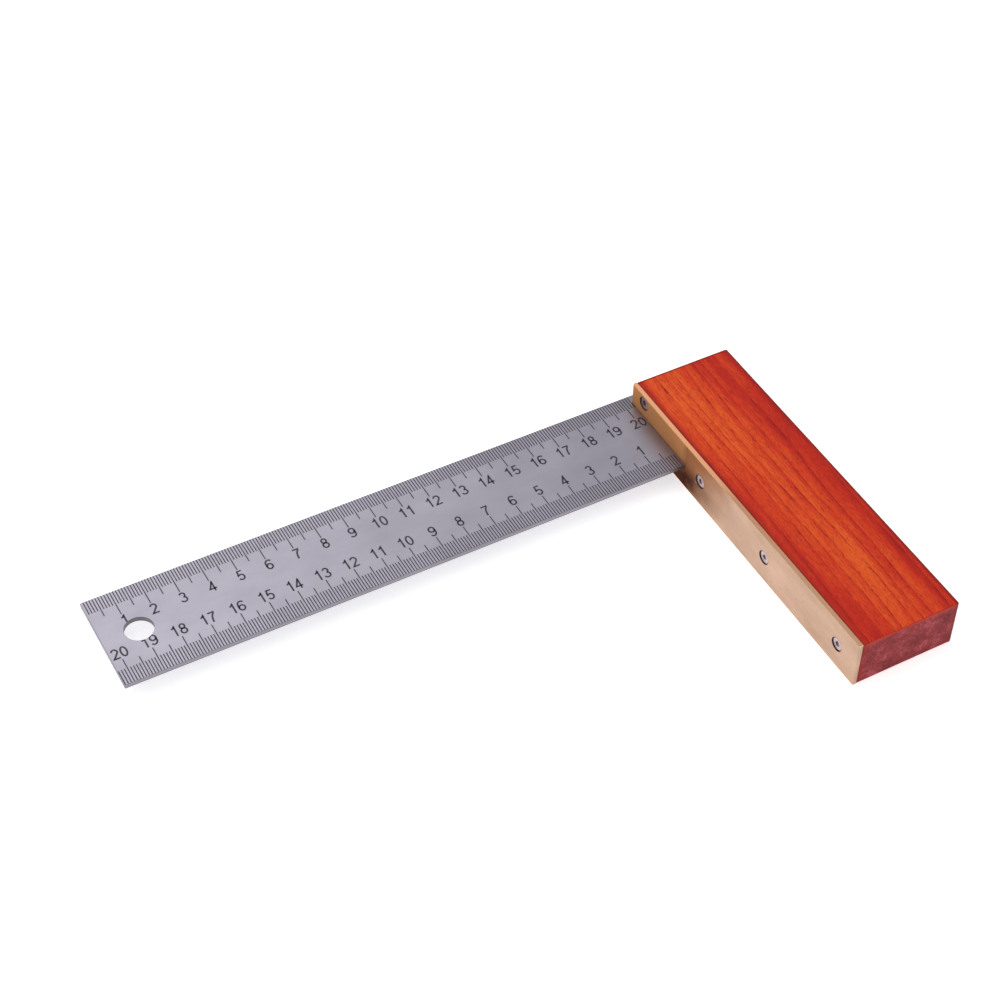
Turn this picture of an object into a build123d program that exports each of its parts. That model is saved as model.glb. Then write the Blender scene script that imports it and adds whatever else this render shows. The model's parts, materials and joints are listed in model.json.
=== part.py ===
from build123d import *
import os

# Try square: a ruled steel blade let into a brass-faced hardwood stock at a right angle.
#
# The square lies flat. X runs along the blade towards the stock, Y runs along the stock
# towards the corner of the square, and Z is up. The origin is under the middle of the
# whole square, on the surface that it lies on.

os.makedirs("parts", exist_ok=True)

# ---------------------------------------------------------------- driving dimensions, mm

# Blade
blade_reach = 203.4          # free end to the working face: a 200 mm scale and a margin
blade_width = 38.1
blade_thickness = 1.8
blade_corner_radius = 0.3
blade_edge_break = 0.12
tang_depth = 32.0            # length of blade hidden behind the working face
hang_hole_diameter = 9.8
hang_hole_inset = 12.65      # hole centre, from the free end
hang_hole_offset = 18.8      # hole centre, from the outer edge

# Stock
stock_length = 135.15
stock_width = 38.6           # working face to back, with the face plate
stock_thickness = 18.7
corner_setback = 3.15        # end of the stock, inside the blade's outer edge
blade_drop = 0.35            # middle of the blade, below the middle of the stock
back_edge_radius = 0.8
end_edge_radius = 0.4
plate_side_break = 0.3       # round the face that the plate is screwed to

# Face plate
plate_thickness = 1.5
plate_edge_break = 0.25

# Face screws: countersunk, cross recessed, in a short counterbore and a 90 degree seat
screw_head_diameter = 4.6
screw_head_land = 0.15       # straight rim above the head's cone
screw_head_recess = 0.35     # head's face, below the working face
screw_core_diameter = 1.8
screw_thread_diameter = 2.5
screw_thread_pitch = 1.1
screw_neck_length = 0.25     # plain neck between the cone and the threads
screw_length = 12.0
screw_tip_length = 1.6
recess_wing_length = 2.5     # the driver recess, from wing tip to wing tip
recess_wing_width = 0.65
recess_floor_share = 0.4     # size of the recess at its floor, against its mouth
recess_depth = 0.9
corner_screw_inset = 7.45    # screw over the blade, from the corner end of the stock
corner_screw_cover = 3.4     # the same screw, below the top of the stock
heel_screw_gap = 9.4         # next screw, from the blade's inner edge
toe_screw_inset = 10.4       # last screw, from the free end of the stock
middle_screw_shift = 1.3     # middle screw, from half-way, towards the blade
heel_screw_rise = 0.65       # drilled by eye: the row drops a little along the stock
middle_screw_rise = 0.25
toe_screw_rise = -0.25
screw_turns = (18, 38, 24, 62)   # how far each head is turned, in degrees

# Tang pins: driven up from the underside, stopping short of the top face
pin_diameter = 3.0
pin_recess = 0.2             # pin's lower end, inside the underside
pin_cover = 3.0              # wood left above the blind pin holes
pin_end_gap = 0.5            # air between the pin and the end of its hole
pin_chamfer = 0.3
pin_row_inset = 7.0          # rear pins, from the hidden end of the blade
pin_edge_inset = 9.0         # rear pins, from the edges of the tang in the slot
front_pin_depth = 13.0       # front pin, from the working face

# Fits
slot_clearance = 0.1         # each side of the blade, filled with epoxy in the wood
slot_end_clearance = 0.5     # past the blade's hidden end and its inner edge
screw_hole_clearance = 0.05  # round the threads in the wood, on the radius
plate_hole_clearance = 0.15  # round the screw in the plate, on the radius
counterbore_clearance = 0.2  # round the screw head, on the radius
screw_tip_gap = 0.4          # hole beyond the screw's point
pin_clearance = 0.02         # round the pins, on the radius

# ---------------------------------------------------------------- places worked out

overall_length = blade_reach + stock_width
overall_width = corner_setback + stock_length
x_free_end = -overall_length / 2
x_working_face = x_free_end + blade_reach
x_wood_face = x_working_face + plate_thickness
x_back = x_working_face + stock_width
x_tang_end = x_working_face + tang_depth
y_outer_edge = overall_width / 2
y_inner_edge = y_outer_edge - blade_width
y_corner_end = y_outer_edge - corner_setback
y_toe_end = y_corner_end - stock_length
z_middle = stock_thickness / 2
z_blade_bottom = z_middle - blade_drop - blade_thickness / 2
z_blade_top = z_blade_bottom + blade_thickness
z_slot_bottom = z_blade_bottom - slot_clearance
slot_height = blade_thickness + 2 * slot_clearance
y_slot_side = y_inner_edge - slot_end_clearance
x_slot_end = x_tang_end + slot_end_clearance

corner_screw = (y_corner_end - corner_screw_inset, stock_thickness - corner_screw_cover)
heel_screw = (y_inner_edge - heel_screw_gap, z_middle + heel_screw_rise)
toe_screw = (y_toe_end + toe_screw_inset, z_middle + toe_screw_rise)
y_middle_screw = (heel_screw[0] + toe_screw[0]) / 2 + middle_screw_shift
middle_screw = (y_middle_screw, z_middle + middle_screw_rise)
screw_centres = (corner_screw, heel_screw, middle_screw, toe_screw)

x_screw_head = x_working_face + screw_head_recess
x_screw_seat = x_screw_head + screw_head_land
head_cone_depth = (screw_head_diameter - screw_thread_diameter) / 2
screw_seats = [Plane(origin=(x_screw_seat, y, z), z_dir=(-1, 0, 0)) for y, z in screw_centres]
screw_hole_radius = screw_thread_diameter / 2 + screw_hole_clearance
screw_hole_depth = x_screw_head + screw_length + screw_tip_gap - x_wood_face

x_rear_pins = x_tang_end - pin_row_inset
x_front_pin = x_working_face + front_pin_depth
y_pin_outer = y_corner_end - pin_edge_inset
y_pin_inner = y_inner_edge + pin_edge_inset
y_pin_front = (y_pin_outer + y_pin_inner) / 2
pin_centres = ((x_rear_pins, y_pin_outer), (x_rear_pins, y_pin_inner), (x_front_pin, y_pin_front))
pin_hole_radius = pin_diameter / 2 + pin_clearance
pin_hole_depth = stock_thickness - pin_cover
pin_length = pin_hole_depth - pin_recess - pin_end_gap
low_corner = (Align.MIN, Align.MIN)


def finish(piece, name):
    """Label a finished piece and write it to its own STEP file."""
    piece.part.label = name
    export_step(piece.part, f"parts/{name}.step")

# ---------------------------------------------------------------- blind holes for the pins

# cut from the stock, the blade and the epoxy alike, so that the three line up
with BuildPart() as tang_pin_holes:
    with BuildSketch():
        with Locations(*pin_centres):
            Circle(pin_hole_radius)
    extrude(amount=pin_hole_depth)

# ---------------------------------------------------------------- blade

with BuildPart() as blade:
    with BuildSketch(Plane.XY.offset(z_blade_bottom)):
        with Locations((x_free_end, y_inner_edge)):
            Rectangle(blade_reach + tang_depth, blade_width, align=low_corner)
    extrude(amount=blade_thickness)
    fillet(blade.edges().filter_by(Axis.Z), blade_corner_radius)
    chamfer(blade.faces().sort_by(Axis.Z)[-1].outer_wire().edges(), blade_edge_break)
    chamfer(blade.faces().sort_by(Axis.Z)[0].outer_wire().edges(), blade_edge_break)
    # hole to hang the square from a hook
    with BuildSketch(Plane.XY.offset(z_blade_bottom)):
        with Locations((x_free_end + hang_hole_inset, y_outer_edge - hang_hole_offset)):
            Circle(hang_hole_diameter / 2)
    extrude(amount=blade_thickness, mode=Mode.SUBTRACT)
    add(tang_pin_holes.part, mode=Mode.SUBTRACT)
finish(blade, "blade")

# ---------------------------------------------------------------- stock body

with BuildPart() as stock_body:
    with BuildSketch():
        with Locations((x_wood_face, y_toe_end)):
            Rectangle(x_back - x_wood_face, stock_length, align=low_corner)
    extrude(amount=stock_thickness)
    # rounded round the back, just eased along the two ends and against the plate
    fillet(stock_body.edges().group_by(Axis.X)[-1], back_edge_radius)
    fillet(stock_body.edges().filter_by(Axis.X), end_edge_radius)
    chamfer(stock_body.edges().group_by(Axis.X)[0], plate_side_break)
    # saw cut for the blade, open at the corner end
    with BuildSketch(Plane.XY.offset(z_slot_bottom)):
        with Locations((x_wood_face, y_slot_side)):
            Rectangle(x_slot_end - x_wood_face, y_corner_end - y_slot_side, align=low_corner)
    extrude(amount=slot_height, mode=Mode.SUBTRACT)
    # holes that the face screws are driven into, flared where a seat is deeper than the plate
    with BuildSketch(Plane.YZ.offset(x_wood_face)):
        with Locations(*screw_centres):
            Circle(screw_hole_radius)
    extrude(amount=screw_hole_depth, mode=Mode.SUBTRACT)
    with Locations(*screw_seats):
        flare_radius = screw_head_diameter / 2 + screw_hole_clearance
        CounterSinkHole(screw_hole_radius, flare_radius, x_wood_face - x_screw_seat, 90)
    add(tang_pin_holes.part, mode=Mode.SUBTRACT)
finish(stock_body, "stock_body")

# ---------------------------------------------------------------- brass face plate

with BuildPart() as brass_face_plate:
    with BuildSketch(Plane.YZ.offset(x_working_face)):
        with Locations((y_toe_end, 0)):
            Rectangle(stock_length, stock_thickness, align=low_corner)
    extrude(amount=plate_thickness)
    chamfer(brass_face_plate.edges().group_by(Axis.X)[0], plate_edge_break)
    # the blade passes through a slot that is open at the corner end
    with BuildSketch(Plane.YZ.offset(x_working_face)):
        with Locations((y_inner_edge - slot_clearance, z_slot_bottom)):
            slot_length = y_corner_end - y_inner_edge + slot_clearance
            Rectangle(slot_length, slot_height, align=low_corner)
    extrude(amount=plate_thickness, mode=Mode.SUBTRACT)
    # screw seats: a short counterbore, then the cone and the clearance hole
    with BuildSketch(Plane.YZ.offset(x_working_face)):
        with Locations(*screw_centres):
            Circle(screw_head_diameter / 2 + counterbore_clearance)
    extrude(amount=x_screw_seat - x_working_face, mode=Mode.SUBTRACT)
    with Locations(*screw_seats):
        hole_radius = screw_thread_diameter / 2 + plate_hole_clearance
        CounterSinkHole(hole_radius, screw_head_diameter / 2, plate_thickness, 90)
finish(brass_face_plate, "brass_face_plate")

# ---------------------------------------------------------------- face screws

head_radius = screw_head_diameter / 2
core_radius = screw_core_diameter / 2
thread_radius = screw_thread_diameter / 2
neck_end = screw_head_land + head_cone_depth + screw_neck_length
thread_end = screw_length - screw_tip_length
thread_count = int((thread_end - neck_end) / screw_thread_pitch)

# half section of a screw, as distance behind the head's face and radius
screw_section = [(0, 0), (0, head_radius), (screw_head_land, head_radius)]
screw_section += [(screw_head_land + head_cone_depth, thread_radius), (neck_end, thread_radius)]
for turn in range(thread_count):
    root = neck_end + (turn + 0.5) * screw_thread_pitch
    screw_section += [(root, core_radius), (root + screw_thread_pitch / 2, thread_radius)]
screw_section += [(thread_end, core_radius), (screw_length, 0)]

for number, (y, z) in enumerate(screw_centres, start=1):
    centre = (x_screw_head, y, z)
    with BuildPart() as face_screw:
        with BuildSketch(Plane(origin=centre, x_dir=(1, 0, 0), z_dir=(0, -1, 0))):
            with BuildLine():
                Polyline(*screw_section, close=True)
            make_face()
        revolve(axis=Axis(centre, (1, 0, 0)))
        # cross recess for the driver, narrowing to its floor
        head_face = Plane(origin=centre, x_dir=(0, 1, 0), z_dir=(1, 0, 0))
        head_face = head_face.rotated((0, 0, screw_turns[number - 1]))
        for depth, share in ((0, 1), (recess_depth, recess_floor_share)):
            with BuildSketch(head_face.offset(depth)):
                Rectangle(recess_wing_length * share, recess_wing_width * share)
                Rectangle(recess_wing_width * share, recess_wing_length * share)
        loft(mode=Mode.SUBTRACT)
    finish(face_screw, f"face_screw_{number}")

# ---------------------------------------------------------------- tang pins

for number, pin_centre in enumerate(pin_centres, start=1):
    with BuildPart() as tang_pin:
        with BuildSketch(Plane.XY.offset(pin_recess)):
            with Locations(pin_centre):
                Circle(pin_diameter / 2)
        extrude(amount=pin_length)
        chamfer(tang_pin.edges().filter_by(GeomType.CIRCLE), pin_chamfer)
    finish(tang_pin, f"tang_pin_{number}")

# ---------------------------------------------------------------- epoxy round the tang

with BuildPart() as tang_epoxy:
    with BuildSketch(Plane.XY.offset(z_slot_bottom)):
        with Locations((x_wood_face, y_slot_side)):
            Rectangle(x_slot_end - x_wood_face, y_corner_end - y_slot_side, align=low_corner)
    extrude(amount=slot_height)
    add(blade.part, mode=Mode.SUBTRACT)
    add(tang_pin_holes.part, mode=Mode.SUBTRACT)
finish(tang_epoxy, "tang_epoxy")
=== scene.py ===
import json
from math import atan2, ceil, cos, hypot, pi, radians, sin, sqrt

import bpy
from mathutils import Matrix, Vector


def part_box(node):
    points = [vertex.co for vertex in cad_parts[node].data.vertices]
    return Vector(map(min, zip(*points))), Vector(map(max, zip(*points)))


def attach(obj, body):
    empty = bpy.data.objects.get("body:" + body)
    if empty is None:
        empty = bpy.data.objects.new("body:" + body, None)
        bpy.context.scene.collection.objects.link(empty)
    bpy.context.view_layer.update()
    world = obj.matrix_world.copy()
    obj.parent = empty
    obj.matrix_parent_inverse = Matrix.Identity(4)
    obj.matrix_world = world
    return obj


# The looks of a try square: a ruled steel blade in a brass-faced hardwood stock.
# Everything is in metres, in the frame of the CAD model: X along the blade towards the
# stock, Y along the stock towards the corner of the square, Z up.

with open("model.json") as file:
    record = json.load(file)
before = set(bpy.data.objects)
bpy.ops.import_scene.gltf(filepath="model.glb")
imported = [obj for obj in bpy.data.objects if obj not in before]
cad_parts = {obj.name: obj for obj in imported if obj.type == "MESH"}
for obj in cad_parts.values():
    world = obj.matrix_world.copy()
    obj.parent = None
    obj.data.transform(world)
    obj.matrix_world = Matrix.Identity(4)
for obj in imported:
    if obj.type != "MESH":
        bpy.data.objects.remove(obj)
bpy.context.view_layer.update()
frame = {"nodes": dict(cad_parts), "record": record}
NODES = frame["nodes"]
MM = 0.001

# ------------------------------------------------------------------ sizes and places

BLADE_LOW, BLADE_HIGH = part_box("blade")
WOOD_LOW, WOOD_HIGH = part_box("stock_body")
PLATE_LOW, PLATE_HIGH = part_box("brass_face_plate")
FREE_END = BLADE_LOW.x
OUTER_EDGE = BLADE_HIGH.y
INNER_EDGE = BLADE_LOW.y
WORKING_FACE = PLATE_LOW.x
FACE_SCREWS = [name for name in NODES if name.startswith("face_screw")]
TANG_PINS = [name for name in NODES if name.startswith("tang_pin")]
HEAD_LOW, HEAD_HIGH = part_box(FACE_SCREWS[0])
HEAD_FACE = HEAD_LOW.x
HEAD_RADIUS = (HEAD_HIGH.y - HEAD_LOW.y) / 2

# the scale on the blade
TICK_WIDTH = 0.36 * MM
INK_HEIGHT = 0.02 * MM
EDGE_MARGIN = 0.12 * MM                # blank metal between the edge and its ticks
OUTER_TICKS = (5.8 * MM, 8.7 * MM, 10.4 * MM)   # lengths at 1 mm, 5 mm and 10 mm
INNER_TICKS = (6.0 * MM, 8.6 * MM, 9.9 * MM)
OUTER_DIGITS_DOWN = 13.2 * MM          # middle of the numbers, from the outer edge
INNER_DIGITS_UP = 12.9 * MM            # middle of the numbers, from the inner edge
DIGIT_HEIGHT = 4.4 * MM
DIGIT_STROKE = 0.60 * MM
DIGIT_PITCH = 2.88 * MM                # from one figure to the next in a number
DIGIT_SHIFT = 0.1 * MM                 # numbers sit a touch to the right of their ticks
SCALE_LENGTH = 20                      # centimetres
STROKE_STEP = 0.2 * MM                 # longest piece that a figure's strokes are made of

# the hole that the square hangs from, which cuts into two of the numbers
HANG_HOLE = next(mount for mount in frame["record"]["mounts"] if mount["name"] == "hang_hole")
HOLE_X, HOLE_Y = HANG_HOLE["pos_m"][:2]
HOLE_RADIUS = HANG_HOLE["dims"]["r_mm"] * MM

# the camera
VIEW_AZIMUTH = 29.27                   # degrees from +Y towards +X
VIEW_ELEVATION = 45.97                 # degrees down from level
VIEW_ROLL = 0.78                       # degrees
VIEW_DISTANCE = 0.728
VIEW_TARGET = Vector((0.0192, 0.0464, 0.0095))
LENS = 78.45                           # millimetres, as the sensor
SENSOR_WIDTH = 36.0

# the stage and the lights
FLOOR_REACH = 4.0                      # from the middle to each side
FLOOR_DROP = 0.00005                   # below the square, so that the two never touch
FLOOR_GLOW = 0.54                      # lifts the soft shadows towards white
SKY_STRENGTH = 0.33
LIGHT_DISTANCE = 1.4
SOFTBOXES = (                          # name, azimuth, elevation, size, watts
    ("key_light", -60, 55, 1.0, 4.0),
    ("front_light", -140, 45, 1.0, 4.0),
    ("top_light", 0, 90, 1.2, 4.5),
    ("back_light", -12, 52, 0.8, 1.0),
    ("low_back_light", 5, 30, 1.0, 3.0),
    ("wide_light", 15, 62, 1.4, 1.0),
)


# ------------------------------------------------------------------ node trees

class Graph:
    """A material whose node tree is built up call by call; every call gives a socket."""

    def __init__(self, name):
        self.material = bpy.data.materials.new(name)
        self.material.use_nodes = True
        self.tree = self.material.node_tree
        self.shader = self.tree.nodes["Principled BSDF"]

    def node(self, kind, settings=(), **inputs):
        made = self.tree.nodes.new(kind)
        for key, value in dict(settings).items():
            setattr(made, key, value)
        for key, value in inputs.items():
            self.feed(made.inputs[key.replace("_", " ")], value)
        return made

    def feed(self, socket, value):
        if isinstance(value, bpy.types.NodeSocket):
            self.tree.links.new(value, socket)
        else:
            socket.default_value = value

    def maths(self, operation, *values, clamp=False):
        made = self.tree.nodes.new("ShaderNodeMath")
        made.operation = operation
        made.use_clamp = clamp
        for socket, value in zip(made.inputs, values):
            self.feed(socket, value)
        return made.outputs[0]

    def places(self):
        """The point being shaded, in millimetres in the object's own frame, as x, y, z."""
        coordinates = self.node("ShaderNodeTexCoord").outputs["Object"]
        scaled = self.node("ShaderNodeVectorMath", {"operation": "SCALE"}, Scale=1 / MM)
        self.feed(scaled.inputs[0], coordinates)
        return self.node("ShaderNodeSeparateXYZ", Vector=scaled.outputs[0]).outputs

    def normal(self):
        """The surface's direction in the object's own frame, as outputs X, Y and Z."""
        direction = self.node("ShaderNodeTexCoord").outputs["Normal"]
        return self.node("ShaderNodeSeparateXYZ", Vector=direction).outputs

    def distance(self, a, b):
        """How far a point that lies a one way and b the other way is from the origin."""
        squares = self.maths("ADD", self.maths("MULTIPLY", a, a), self.maths("MULTIPLY", b, b))
        return self.maths("SQRT", squares)

    def off_axis(self, y, z, name):
        """Distance in millimetres from the axis of a round CAD node whose axis lies along X."""
        low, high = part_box(name)
        off_y = self.maths("SUBTRACT", y, (low.y + high.y) / 2 / MM)
        off_z = self.maths("SUBTRACT", z, (low.z + high.z) / 2 / MM)
        return self.distance(off_y, off_z)

    def vector(self, x, y, z):
        return self.node("ShaderNodeCombineXYZ", X=x, Y=y, Z=z).outputs[0]

    def noise(self, x, y, z, detail=2.0, roughness=0.5, distortion=0.0):
        """Noise from 0 to 1 at a point whose coordinates are already scaled."""
        made = self.node("ShaderNodeTexNoise", Vector=self.vector(x, y, z), Scale=1.0,
                         Detail=detail, Roughness=roughness, Distortion=distortion)
        return made.outputs["Fac"]

    def scaled(self, axes, x_scale, y_scale, z_scale):
        """The three coordinates times three scales, ready for noise()."""
        return [self.maths("MULTIPLY", a, s) for a, s in zip(axes, (x_scale, y_scale, z_scale))]

    def span(self, value, low, high, to_low=0.0, to_high=1.0):
        """Value from low..high to to_low..to_high, clamped and eased."""
        made = self.node("ShaderNodeMapRange", {"interpolation_type": "SMOOTHSTEP"})
        for key, number in zip(("Value", "From Min", "From Max", "To Min", "To Max"),
                               (value, low, high, to_low, to_high)):
            self.feed(made.inputs[key], number)
        return made.outputs["Result"]

    def ramp(self, value, *stops):
        """A colour ramp through (position, colour) stops."""
        made = self.node("ShaderNodeValToRGB", Fac=value)
        elements = made.color_ramp.elements
        while len(elements) < len(stops):
            elements.new(0.5)
        for element, (position, colour) in zip(elements, stops):
            element.position = position
            element.color = (*colour, 1.0)
        return made.outputs["Color"]

    def mix(self, share, first, second, blend="MIX"):
        made = self.node("ShaderNodeMix", {"data_type": "RGBA", "blend_type": blend})
        self.feed(made.inputs["Factor"], share)
        for socket, value in zip((made.inputs[6], made.inputs[7]), (first, second)):
            self.feed(socket, value if isinstance(value, bpy.types.NodeSocket) else (*value, 1.0))
        return made.outputs[2]

    def bump(self, height, distance, strength=1.0):
        made = self.node("ShaderNodeBump", Height=height, Distance=distance, Strength=strength)
        return made.outputs["Normal"]

    def set(self, **inputs):
        """Feed the shader: Base_Color=..., Roughness=..., and so on."""
        for key, value in inputs.items():
            socket = self.shader.inputs[key.replace("_", " ")]
            if isinstance(value, tuple) and len(value) == 3:
                value = (*value, 1.0)
            self.feed(socket, value)
        return self.material


# ------------------------------------------------------------------ materials

def wood_material():
    """Lacquered red hardwood: dark growth lines along Y, fibres, pores, and darker end grain."""
    g = Graph("red_hardwood")
    x, y, z = g.places()
    toe, corner_end = WOOD_LOW.y / MM, WOOD_HIGH.y / MM
    plate, back, top = PLATE_HIGH.x / MM, WOOD_HIGH.x / MM, WOOD_HIGH.z / MM
    pith_behind, pith_below = 60.0, 40.0
    # the grain drifts towards the back along the stock, and straightens towards the corner
    along = g.maths("SUBTRACT", y, toe)
    drift = g.maths("SUBTRACT", 0.045, g.maths("MULTIPLY", along, 0.00016))
    drift = g.maths("MULTIPLY", along, drift)
    wander = g.noise(*g.scaled((x, y, z), 0.03, 0.016, 0.03), detail=1)
    across = g.maths("ADD", g.maths("SUBTRACT", x, drift), g.maths("MULTIPLY", wander, 2.5))
    # growth rings about a pith that lies under and behind the stock
    ring_x = g.maths("SUBTRACT", across, back + pith_behind)
    ring_z = g.maths("ADD", z, pith_below)
    radius = g.distance(ring_x, ring_z)

    def rings(period, waver, sharp, soft):
        """Dark lines a period apart: how far along each ring a point is, and the line's strength."""
        shift = g.noise(*g.scaled((radius, y, z), 0.7 / period, 0.010, 0.01), detail=1)
        phase = g.maths("ADD", g.maths("DIVIDE", radius, period), g.maths("MULTIPLY", shift, waver))
        through = g.maths("FRACT", phase)
        line = g.maths("MULTIPLY", g.span(through, 0.0, sharp), g.span(through, sharp, soft, 1.0, 0.0))
        own = g.maths("MULTIPLY", g.maths("FLOOR", phase), 7.31)
        broken = g.noise(own, g.maths("MULTIPLY", y, 0.075), g.maths("MULTIPLY", z, 0.05), detail=4)
        frayed = g.noise(*g.scaled((across, y, z), 2.5, 0.80, 2.5), detail=2)
        kept = g.maths("MULTIPLY", g.span(broken, 0.42, 0.62), g.span(frayed, 0.38, 0.56, 0.15, 1.0))
        return through, g.maths("MULTIPLY", line, kept)

    through, lines = rings(3.3, 1.5, 0.05, 0.19)
    _, minor_lines = rings(1.25, 1.2, 0.15, 0.45)
    after_line = g.span(through, 0.05, 0.75)
    # a lighter band runs aslant down the middle of the stock
    band_middle = g.maths("ADD", g.maths("MULTIPLY", along, -0.075), (back + plate) / 2 + 2.5)
    off_band = g.maths("ABSOLUTE", g.maths("SUBTRACT", x, band_middle))
    band = g.span(off_band, 2.0, 18.0, 1.0, 0.0)
    patches = g.noise(*g.scaled((radius, y, z), 0.28, 0.035, 0.03), detail=3)
    fibres = g.noise(*g.scaled((across, y, z), 3.4, 0.50, 3.4), detail=4, roughness=0.7)
    pore_noise = g.noise(*g.scaled((across, y, z), 2.6, 0.42, 2.6), detail=2)
    pores = g.span(pore_noise, 0.57, 0.67)

    tone = g.maths("ADD", g.maths("MULTIPLY", band, 0.20), g.maths("MULTIPLY", after_line, 0.10))
    tone = g.maths("ADD", tone, g.maths("MULTIPLY", patches, 0.42))
    tone = g.maths("ADD", tone, g.maths("MULTIPLY", fibres, 0.50))
    long_grain = g.ramp(tone,
                        (0.38, (0.400, 0.012, 0.009)),
                        (0.54, (0.570, 0.026, 0.010)),
                        (0.67, (0.680, 0.054, 0.012)),
                        (0.84, (0.820, 0.118, 0.018)))
    long_grain = g.mix(g.maths("MULTIPLY", minor_lines, 0.45), long_grain, (0.380, 0.014, 0.010))
    long_grain = g.mix(g.maths("MULTIPLY", lines, 0.95), long_grain, (0.220, 0.007, 0.006))
    long_grain = g.mix(g.maths("MULTIPLY", pores, 0.45), long_grain, (0.290, 0.011, 0.009))

    # end grain drinks the finish: darker, duller, blotched, and speckled with open pores
    blotches = g.noise(*g.scaled((x, y, z), 0.15, 0.1, 0.17), detail=3, roughness=0.6)
    speckle = g.noise(*g.scaled((x, y, z), 0.9, 0.2, 0.9), detail=4, roughness=0.75)
    end_tone = g.maths("ADD", g.maths("MULTIPLY", blotches, 0.50), g.maths("MULTIPLY", speckle, 0.50))
    end_grain = g.ramp(end_tone,
                       (0.38, (0.170, 0.009, 0.012)),
                       (0.50, (0.290, 0.027, 0.031)),
                       (0.62, (0.470, 0.082, 0.100)))
    end_grain = g.mix(g.maths("MULTIPLY", pores, 0.25), end_grain, (0.09, 0.004, 0.006))
    stained_top = g.span(z, top - 2.4, top - 0.4, 0.0, 0.75)
    end_grain = g.mix(stained_top, end_grain, (0.520, 0.034, 0.016))
    ragged_x = g.maths("ADD", x, g.maths("MULTIPLY", speckle, 2.0))
    stained_side = g.span(ragged_x, plate + 0.8, plate + 3.2, 0.55, 0.0)
    end_grain = g.mix(stained_side, end_grain, (0.330, 0.016, 0.014))
    # the worn edge between the faces wavers
    facing = g.maths("ADD", g.maths("ABSOLUTE", g.normal()["Y"]),
                     g.maths("MULTIPLY", g.maths("SUBTRACT", blotches, 0.5), 0.9))
    on_end = g.span(facing, 0.40, 0.85)
    colour = g.mix(on_end, long_grain, end_grain)

    # stain gathers along the joint with the brass, the rounded back and the corner end
    near_plate = g.span(x, plate + 0.3, plate + 3.2, 1.0, 0.0)
    near_back = g.span(x, back - 2.0, back - 0.5)
    near_corner = g.span(y, corner_end - 1.3, corner_end - 0.4)
    edge_stain = g.maths("MAXIMUM", near_back, near_corner)
    colour = g.mix(g.maths("MULTIPLY", near_plate, 0.55), colour, (0.330, 0.010, 0.010))
    colour = g.mix(g.maths("MULTIPLY", edge_stain, 0.70), colour, (0.150, 0.006, 0.010))
    # dirt in the groove beside the plate
    groove = g.span(x, plate + 0.10, plate + 0.45, 0.90, 0.0)
    colour = g.mix(groove, colour, (0.080, 0.012, 0.008))

    rough = g.maths("ADD", 0.44, g.maths("MULTIPLY", fibres, 0.10))
    rough = g.maths("ADD", rough, g.maths("MULTIPLY", on_end, 0.08))
    rough = g.maths("ADD", rough, g.maths("MULTIPLY", pores, 0.15))
    relief = g.maths("ADD", g.maths("MULTIPLY", fibres, 0.30), g.maths("MULTIPLY", pores, -0.8))
    relief = g.maths("ADD", relief, g.maths("MULTIPLY", lines, -0.4))
    relief = g.maths("ADD", relief, g.maths("MULTIPLY", g.maths("MULTIPLY", speckle, on_end), 1.5))
    return g.set(Base_Color=colour, Roughness=rough, Normal=g.bump(relief, 0.00006, 0.5),
                 Specular_IOR_Level=0.15)


def steel_material():
    """Satin stainless blade, finely brushed along its length, with faint handling marks."""
    g = Graph("satin_stainless")
    x, y, z = g.places()
    hole, stock, bottom = HOLE_RADIUS / MM, WORKING_FACE / MM, BLADE_LOW.z / MM
    brushed = g.noise(*g.scaled((x, y, z), 0.10, 9.0, 9.0), detail=3, roughness=0.6)
    clouds = g.noise(*g.scaled((x, y, z), 0.05, 0.09, 0.05), detail=3)
    marks = g.noise(*g.scaled((x, y, z), 0.5, 1.7, 1.0), detail=4, roughness=0.7, distortion=1.5)
    tone = g.maths("ADD", g.maths("MULTIPLY", clouds, 0.7), g.maths("MULTIPLY", brushed, 0.3))
    colour = g.ramp(tone, (0.32, (0.365, 0.346, 0.405)), (0.68, (0.440, 0.417, 0.488)))
    # painted shade darkens the drilled wall of the hole and the edges, most of all the lower arris
    off_x = g.maths("SUBTRACT", x, HOLE_X / MM)
    off_y = g.maths("SUBTRACT", y, HOLE_Y / MM)
    away = g.distance(off_x, off_y)
    hole_wall_shade = g.span(away, hole + 0.02, hole + 0.12, 0.75, 0.0)
    colour = g.mix(hole_wall_shade, colour, (0.12, 0.115, 0.11))
    # painted shade on the blade's edge faces, strongest along the lower arris
    on_edge = g.span(g.maths("ABSOLUTE", g.normal()["Z"]), 0.3, 0.6, 1.0, 0.0)
    low_arris_shade = g.span(z, bottom + 0.15, bottom + 0.55, 0.85, 0.60)
    colour = g.mix(g.maths("MULTIPLY", on_edge, low_arris_shade), colour, (0.16, 0.15, 0.17))
    # painted shade and a painted reflection of the brass darken the metal beside the stock
    stock_shade = g.span(x, stock - 10.0, stock - 1.0, 0.0, 0.48)
    colour = g.mix(stock_shade, colour, (0.255, 0.225, 0.250))
    rough = g.maths("ADD", 0.34, g.maths("MULTIPLY", brushed, 0.12))
    rough = g.maths("ADD", rough, g.span(marks, 0.60, 0.78, 0.0, 0.10))
    relief = g.maths("ADD", g.maths("MULTIPLY", brushed, 0.7), g.maths("MULTIPLY", marks, 0.3))
    return g.set(Base_Color=colour, Metallic=1.0, Roughness=rough,
                 Normal=g.bump(relief, 0.00001, 0.5))


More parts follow.
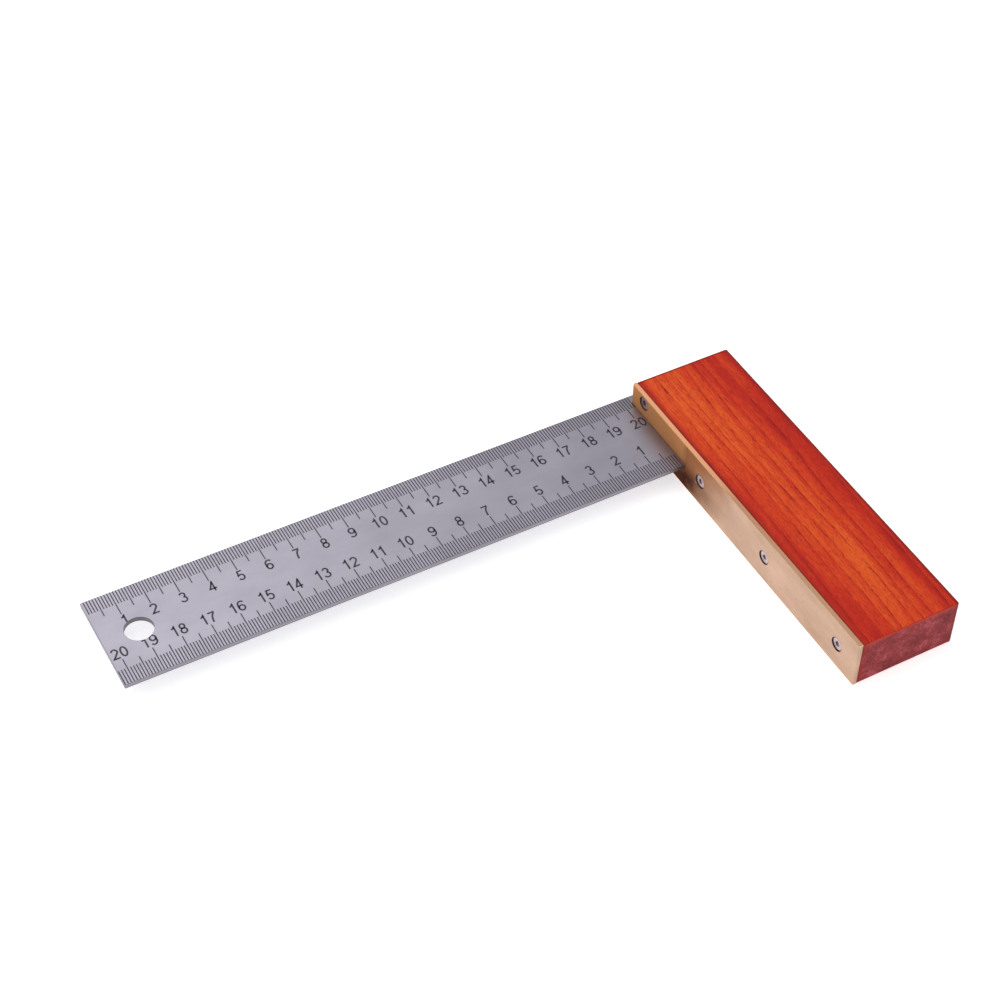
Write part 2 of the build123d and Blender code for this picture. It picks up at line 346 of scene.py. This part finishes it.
def brass_material():
    """Satin brass strip, drawn along its length, brown with painted shade and painted reflections by the
    blade, rubbed bright on its edges with a painted highlight.
    """
    g = Graph("satin_brass")
    x, y, z = g.places()
    bottom, top, blade_side = PLATE_LOW.z / MM, PLATE_HIGH.z / MM, INNER_EDGE / MM
    drawn = g.noise(*g.scaled((x, y, z), 6.0, 0.08, 8.0), detail=3, roughness=0.6)
    clouds = g.noise(*g.scaled((x, y, z), 0.3, 0.06, 0.16), detail=3, roughness=0.55)
    specks = g.noise(*g.scaled((x, y, z), 1.1, 0.9, 1.1), detail=2)
    tone = g.maths("ADD", g.maths("MULTIPLY", clouds, 0.75), g.maths("MULTIPLY", drawn, 0.25))
    colour = g.ramp(tone,
                    (0.30, (0.420, 0.270, 0.186)),
                    (0.50, (0.500, 0.325, 0.228)),
                    (0.70, (0.570, 0.373, 0.270)))
    # painted reflection of the shaded floor in the inside corner and along the blade, ragged at its
    # border
    ragged = g.maths("MULTIPLY", g.maths("SUBTRACT", clouds, 0.5), 14.0)
    up = g.maths("SUBTRACT", z, bottom)
    below = g.maths("SUBTRACT", g.maths("SUBTRACT", blade_side, y), g.maths("MULTIPLY", up, 0.45))
    below = g.maths("ADD", below, ragged)
    shaded_corner = g.span(below, 1.0, 23.0, 1.0, 0.0)
    # painted shadow on the brass just under the blade, darkest low down
    blade_shadow = g.maths("MULTIPLY", g.span(below, 0.5, 6.5, 1.0, 0.0), g.span(up, 4.0, 12.0, 1.0, 0.0))
    # painted reflection of the blade on the brass beside and above its inner edge
    blade_reflection = g.span(y, blade_side - 1.0, blade_side + 3.0)
    shade_brown = g.mix(g.span(up, 5.0, 15.0), (0.190, 0.072, 0.033), (0.360, 0.140, 0.056))
    colour = g.mix(g.maths("MULTIPLY", shaded_corner, 0.92), colour, shade_brown)
    colour = g.mix(g.maths("MULTIPLY", blade_reflection, 0.90), colour, (0.590, 0.270, 0.112))
    colour = g.mix(g.maths("MULTIPLY", blade_shadow, 0.90), colour, (0.050, 0.018, 0.015))
    colour = g.mix(g.span(specks, 0.67, 0.74, 0.0, 0.6), colour, (0.30, 0.17, 0.11))
    # the long edges are rubbed bright and carry a painted highlight
    from_top = g.maths("SUBTRACT", top, z)
    edge = g.maths("MINIMUM", from_top, g.maths("SUBTRACT", z, bottom))
    rubbed_and_highlit = g.span(edge, 0.0, 0.5, 0.95, 0.0)
    rubbed_highlight_colour = g.mix(g.span(y, -60.0, 20.0), (0.880, 0.500, 0.300), (0.880, 0.430, 0.235))
    colour = g.mix(rubbed_and_highlit, colour, rubbed_highlight_colour)
    # painted shade in the ring round each screw head
    for name in FACE_SCREWS:
        away = g.off_axis(y, z, name)
        ring_shade = g.span(away, HEAD_RADIUS / MM + 0.15, HEAD_RADIUS / MM + 0.50, 0.92, 0.0)
        colour = g.mix(ring_shade, colour, (0.055, 0.035, 0.035))
    rough = g.maths("ADD", 0.33, g.maths("MULTIPLY", drawn, 0.14))
    rough = g.maths("SUBTRACT", rough, g.maths("MULTIPLY", rubbed_and_highlit, 0.08))
    rough = g.maths("ADD", rough, g.maths("MULTIPLY", shaded_corner, 0.12))
    metal = g.maths("SUBTRACT", 1.0, g.maths("MULTIPLY", shaded_corner, 0.85))
    gloss = g.maths("SUBTRACT", 0.5, g.maths("MULTIPLY", shaded_corner, 0.50))
    glint = g.mix(shaded_corner, (1.0, 1.0, 1.0), (0.80, 0.36, 0.14))
    return g.set(Base_Color=colour, Metallic=metal, Roughness=rough,
                 Specular_IOR_Level=gloss, Specular_Tint=glint,
                 Normal=g.bump(drawn, 0.00001, 0.5))


def plated_material(name, dark, light, grain, heads=()):
    """Small mottled steel hardware; painted shade fills the cross recess of each node in heads."""
    g = Graph(name)
    x, y, z = g.places()
    radius = HEAD_RADIUS / MM
    mottle = g.noise(*g.scaled((x, y, z), grain, grain, grain), detail=3)
    fine = g.noise(*g.scaled((x, y, z), 9.0, 9.0, 9.0), detail=2)
    tone = g.maths("ADD", g.maths("MULTIPLY", mottle, 0.7), g.maths("MULTIPLY", fine, 0.3))
    colour = g.ramp(tone, (0.30, dark), (0.70, light))
    # painted shade darkens each head in the middle and at its rim
    for head in heads:
        away = g.maths("ADD", g.off_axis(y, z, head), g.maths("MULTIPLY", mottle, 0.8))
        colour = g.mix(g.span(away, 1.0, 1.9, 0.90, 0.0), colour, (0.100, 0.050, 0.072))
        rim_shade = g.maths("MULTIPLY", g.span(away, radius, radius + 0.4, 0.0, 0.6),
                      g.span(away, radius + 0.9, radius + 1.0, 1.0, 0.0))
        colour = g.mix(rim_shade, colour, (0.120, 0.070, 0.095))
    # painted shade deep in the cross recess
    if heads:
        recess_shade = g.span(g.maths("SUBTRACT", x, HEAD_FACE / MM), 0.02, 0.12, 0.0, 0.95)
        colour = g.mix(recess_shade, colour, (0.045, 0.032, 0.040))
    rough = g.maths("ADD", 0.24, g.maths("MULTIPLY", fine, 0.18))
    return g.set(Base_Color=colour, Metallic=1.0, Roughness=rough,
                 Normal=g.bump(fine, 0.00001, 0.4))


def epoxy_material():
    """Cured amber glue, seen only as a thin line where the saw cut is open."""
    g = Graph("cured_epoxy")
    x, y, z = g.places()
    clouds = g.noise(*g.scaled((x, y, z), 0.7, 0.7, 3.0), detail=3)
    colour = g.ramp(clouds, (0.35, (0.10, 0.045, 0.020)), (0.65, (0.20, 0.100, 0.045)))
    rough = g.maths("ADD", 0.25, g.maths("MULTIPLY", clouds, 0.2))
    return g.set(Base_Color=colour, Roughness=rough, Normal=g.bump(clouds, 0.00003, 0.4))


def ink_material():
    """Blue-black etched and filled marks, thinner in places where hands have worn them."""
    g = Graph("etch_ink")
    x, y, z = g.places()
    wear = g.noise(*g.scaled((x, y, z), 0.5, 0.5, 0.5), detail=4, roughness=0.65)
    colour = g.ramp(wear, (0.40, (0.018, 0.015, 0.028)), (0.75, (0.060, 0.054, 0.082)))
    rough = g.maths("ADD", 0.45, g.maths("MULTIPLY", wear, 0.2))
    return g.set(Base_Color=colour, Roughness=rough, Normal=g.bump(wear, 0.00001, 0.3))


def paint(material, *nodes):
    """Give CAD nodes this material, in every slot they have."""
    for name in nodes:
        mesh = NODES[name].data
        if not NODES[name].material_slots:
            mesh.materials.append(material)
        for used in NODES[name].material_slots:
            used.material = material


# ------------------------------------------------------------------ the blade's scale

def arc(cx, cy, rx, ry, start, end, steps=14):
    """Points round part of an ellipse; angles in degrees, anticlockwise from the right."""
    angles = [radians(start + (end - start) * i / steps) for i in range(steps + 1)]
    return [(cx + rx * cos(a), cy + ry * sin(a)) for a in angles]


# Figures as pen strokes in a box one unit high, centred on x = 0.
FIGURES = {
    "0": [arc(0, 0.5, 0.215, 0.44, 90, 450, 32)],
    "1": [[(-0.17, 0.74), (-0.02, 0.80), (0.07, 0.94), (0.07, 0.0)]],
    "2": [arc(0, 0.70, 0.215, 0.24, 165, -28) + [(-0.215, 0.06), (0.26, 0.06)]],
    "3": [arc(-0.01, 0.725, 0.19, 0.215, 160, -75), arc(-0.01, 0.29, 0.225, 0.235, 85, -165)],
    "4": [[(0.27, 0.26), (-0.24, 0.26), (0.09, 0.94), (0.09, 0.0)]],
    "5": [[(0.20, 0.94), (-0.13, 0.94), (-0.185, 0.50)] + arc(0, 0.32, 0.215, 0.26, 130, -155)],
    "6": [arc(0.04, 0.60, 0.255, 0.34, 40, 180, 10) + arc(0, 0.31, 0.215, 0.25, 180, 540, 28)],
    "7": [[(-0.23, 0.94), (0.215, 0.94)] + arc(0.30, 0.0, 0.36, 0.86, 110, 180, 8)],
    "8": [arc(0, 0.725, 0.18, 0.215, -90, 270, 28), arc(0, 0.275, 0.215, 0.235, 90, 450, 28)],
    "9": [arc(-0.04, 0.40, 0.255, 0.34, 220, 360, 10) + arc(0, 0.69, 0.215, 0.25, 0, 360, 28)],
}


def ribbon(points, width):
    """The two sides of a flat line of constant width through points, mitred at its corners."""
    left, right = [], []
    for i, (px, py) in enumerate(points):
        before = points[max(i - 1, 0)]
        after = points[min(i + 1, len(points) - 1)]
        a_in = atan2(py - before[1], px - before[0]) if i > 0 else None
        a_out = atan2(after[1] - py, after[0] - px) if i < len(points) - 1 else None
        a_in = a_out if a_in is None else a_in
        a_out = a_in if a_out is None else a_out
        turn = (a_out - a_in + pi) % (2 * pi) - pi
        middle = a_in + turn / 2
        reach = width / 2 / max(cos(turn / 2), 0.45)
        left.append((px - sin(middle) * reach, py + cos(middle) * reach))
        right.append((px + sin(middle) * reach, py - cos(middle) * reach))
    return left, right


def spaced(points, step):
    """The same line with points no further apart than step."""
    line = points[:1]
    for (ax, ay), (bx, by) in zip(points, points[1:]):
        parts = max(1, ceil(hypot(bx - ax, by - ay) / step))
        line += [(ax + (bx - ax) * i / parts, ay + (by - ay) * i / parts) for i in range(1, parts + 1)]
    return line


def clear_of_hole(a, b):
    """The longer part of the short line a-b outside the hang hole, or None inside it."""
    ax, ay = a[0] - HOLE_X, a[1] - HOLE_Y
    dx, dy = b[0] - a[0], b[1] - a[1]
    square, half, rest = dx * dx + dy * dy, ax * dx + ay * dy, ax * ax + ay * ay - HOLE_RADIUS ** 2
    inside_root = half * half - square * rest
    if inside_root <= 0:
        return a, b
    enters = (-half - sqrt(inside_root)) / square
    leaves = (-half + sqrt(inside_root)) / square
    if enters >= 1 or leaves <= 0:
        return a, b
    if enters <= 0 and leaves >= 1:
        return None
    start, end = (leaves, 1) if enters <= 0 or enters < 1 - leaves else (0, enters)
    return (a[0] + dx * start, a[1] + dy * start), (a[0] + dx * end, a[1] + dy * end)


class Etching:
    """Flat marks gathered into one mesh: thin strips, half sunk in the metal, half above it."""

    def __init__(self, name, surface, up):
        self.name, self.surface, self.up = name, surface, up
        self.points, self.faces = [], []

    def place(self, u, v, raised):
        return (u, v, self.surface + self.up * (INK_HEIGHT if raised else -INK_HEIGHT))

    def strip(self, left, right):
        base = len(self.points)
        count = len(left)
        for raised in (True, False):
            self.points += [self.place(u, v, raised) for u, v in left]
            self.points += [self.place(u, v, raised) for u, v in right]
        top_l, top_r, low_l, low_r = (base + k * count for k in range(4))
        for i in range(count - 1):
            self.faces.append((top_l + i, top_r + i, top_r + i + 1, top_l + i + 1))
            self.faces.append((low_l + i + 1, low_r + i + 1, low_r + i, low_l + i))
            self.faces.append((top_l + i + 1, low_l + i + 1, low_l + i, top_l + i))
            self.faces.append((top_r + i, low_r + i, low_r + i + 1, top_r + i + 1))
        for i, flip in ((0, False), (count - 1, True)):
            end = (top_l + i, low_l + i, low_r + i, top_r + i)
            self.faces.append(end[::-1] if flip else end)

    def tick(self, x, y_from, y_to):
        half = TICK_WIDTH / 2
        side = 1 if y_to > y_from else -1
        self.strip([(x - half * side, y_from), (x - half * side, y_to)],
                   [(x + half * side, y_from), (x + half * side, y_to)])

    def number(self, value, x, y):
        """A number centred on x and y, that reads from the side the marks face."""
        figures = str(value)
        for i, figure in enumerate(figures):
            shift = DIGIT_SHIFT + (i - (len(figures) - 1) / 2) * DIGIT_PITCH
            for stroke in FIGURES[figure]:
                line = [(px * DIGIT_HEIGHT + shift, (py - 0.5) * DIGIT_HEIGHT) for px, py in stroke]
                left, right = ribbon(spaced(line, STROKE_STEP), DIGIT_STROKE)
                self.cut_strip([(x + self.up * u, y + v) for u, v in left],
                               [(x + self.up * u, y + v) for u, v in right])

    def cut_strip(self, left, right):
        """A strip, or the parts of it that the hang hole leaves."""
        run = []
        for section in [clear_of_hole(a, b) for a, b in zip(left, right)] + [None]:
            if section:
                run.append(section)
            else:
                if len(run) > 1:
                    self.strip([a for a, _ in run], [b for _, b in run])
                run = []

    def finish(self, material):
        mesh = bpy.data.meshes.new(self.name)
        faces = self.faces if self.up > 0 else [f[::-1] for f in self.faces]
        mesh.from_pydata(self.points, [], faces)
        mesh.materials.append(material)
        mesh.validate()
        piece = bpy.data.objects.new(self.name, mesh)
        bpy.context.scene.collection.objects.link(piece)
        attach(piece, "root")


def tick_length(millimetre, lengths):
    """Short, middling or long, as the mark counts ones, fives or tens."""
    if millimetre % 10 == 0:
        return lengths[2]
    return lengths[1] if millimetre % 5 == 0 else lengths[0]


def rule_blade(side, surface, up, material):
    """Both scales on one face: the outer from the free end, the inner from the working face."""
    ticks = Etching(f"scale_ticks_{side}", surface, up)
    numbers = Etching(f"scale_numbers_{side}", surface, up)
    reach = int((WORKING_FACE - FREE_END) / MM)
    for i in range(1, reach + 1):
        outer = OUTER_EDGE - EDGE_MARGIN
        ticks.tick(FREE_END + i * MM, outer, outer - tick_length(i, OUTER_TICKS))
        inner = INNER_EDGE + EDGE_MARGIN
        ticks.tick(WORKING_FACE - i * MM, inner, inner + tick_length(i, INNER_TICKS))
    for value in range(1, SCALE_LENGTH + 1):
        along = value * 10 * MM
        numbers.number(value, FREE_END + along, OUTER_EDGE - OUTER_DIGITS_DOWN)
        numbers.number(value, WORKING_FACE - along, INNER_EDGE + INNER_DIGITS_UP)
    ticks.finish(material)
    numbers.finish(material)


# ------------------------------------------------------------------ stage, lights, camera

def floor_and_world():
    """A plain pale floor, wide enough to fill the camera's view, under a plain pale sky."""
    g = Graph("pale_floor")
    g.set(Base_Color=(0.90, 0.90, 0.90), Roughness=0.8,
          Emission_Color=(1.0, 1.0, 1.0), Emission_Strength=FLOOR_GLOW)
    mesh = bpy.data.meshes.new("floor")
    half, level = FLOOR_REACH, -FLOOR_DROP
    corners = [(-half, -half, level), (half, -half, level), (half, half, level), (-half, half, level)]
    mesh.from_pydata(corners, [], [(0, 1, 2, 3)])
    mesh.materials.append(g.material)
    floor = bpy.data.objects.new("floor", mesh)
    bpy.context.scene.collection.objects.link(floor)
    world = bpy.data.worlds.new("studio")
    world.use_nodes = True
    sky = world.node_tree.nodes["Background"]
    sky.inputs["Color"].default_value = (1.0, 1.0, 1.0, 1.0)
    sky.inputs["Strength"].default_value = SKY_STRENGTH
    bpy.context.scene.world = world


def softbox(name, azimuth, elevation, size, watts):
    """A square area light in the direction given, that looks at the frame's origin."""
    light = bpy.data.lights.new(name, "AREA")
    light.shape = "SQUARE"
    light.size = size
    light.energy = watts
    lamp = bpy.data.objects.new(name, light)
    a, e = radians(azimuth), radians(elevation)
    lamp.location = LIGHT_DISTANCE * Vector((sin(a) * cos(e), cos(a) * cos(e), sin(e)))
    lamp.rotation_euler = lamp.location.to_track_quat("Z", "Y").to_euler()
    bpy.context.scene.collection.objects.link(lamp)


def camera():
    """Looks at the target along the view direction, rolled a touch."""
    a, e = radians(VIEW_AZIMUTH), radians(VIEW_ELEVATION)
    forward = Vector((sin(a) * cos(e), cos(a) * cos(e), -sin(e)))
    lens = bpy.data.cameras.new("camera")
    lens.lens = LENS
    lens.sensor_width = SENSOR_WIDTH
    lens.clip_start = 0.01
    lens.clip_end = 50.0
    eye = bpy.data.objects.new("camera", lens)
    turn = forward.to_track_quat("-Z", "Y").to_matrix().to_4x4()
    roll = Matrix.Rotation(radians(VIEW_ROLL), 4, "Z")
    eye.matrix_world = Matrix.Translation(VIEW_TARGET - forward * VIEW_DISTANCE) @ turn @ roll
    bpy.context.scene.collection.objects.link(eye)
    bpy.context.scene.camera = eye


# ------------------------------------------------------------------ put together

paint(wood_material(), "stock_body")
paint(steel_material(), "blade")
paint(brass_material(), "brass_face_plate")
zinc_plate = plated_material("zinc_plate", (0.40, 0.31, 0.34), (0.66, 0.52, 0.56), 1.2, FACE_SCREWS)
paint(zinc_plate, *FACE_SCREWS)
pin_steel = plated_material("plain_pin_steel", (0.30, 0.30, 0.31), (0.52, 0.52, 0.53), 2.0)
paint(pin_steel, *TANG_PINS)
paint(epoxy_material(), "tang_epoxy")

ink = ink_material()
rule_blade("top", BLADE_HIGH.z, 1, ink)
rule_blade("underside", BLADE_LOW.z, -1, ink)

floor_and_world()
for box in SOFTBOXES:
    softbox(*box)
camera()
bpy.context.scene.view_settings.view_transform = "Standard"
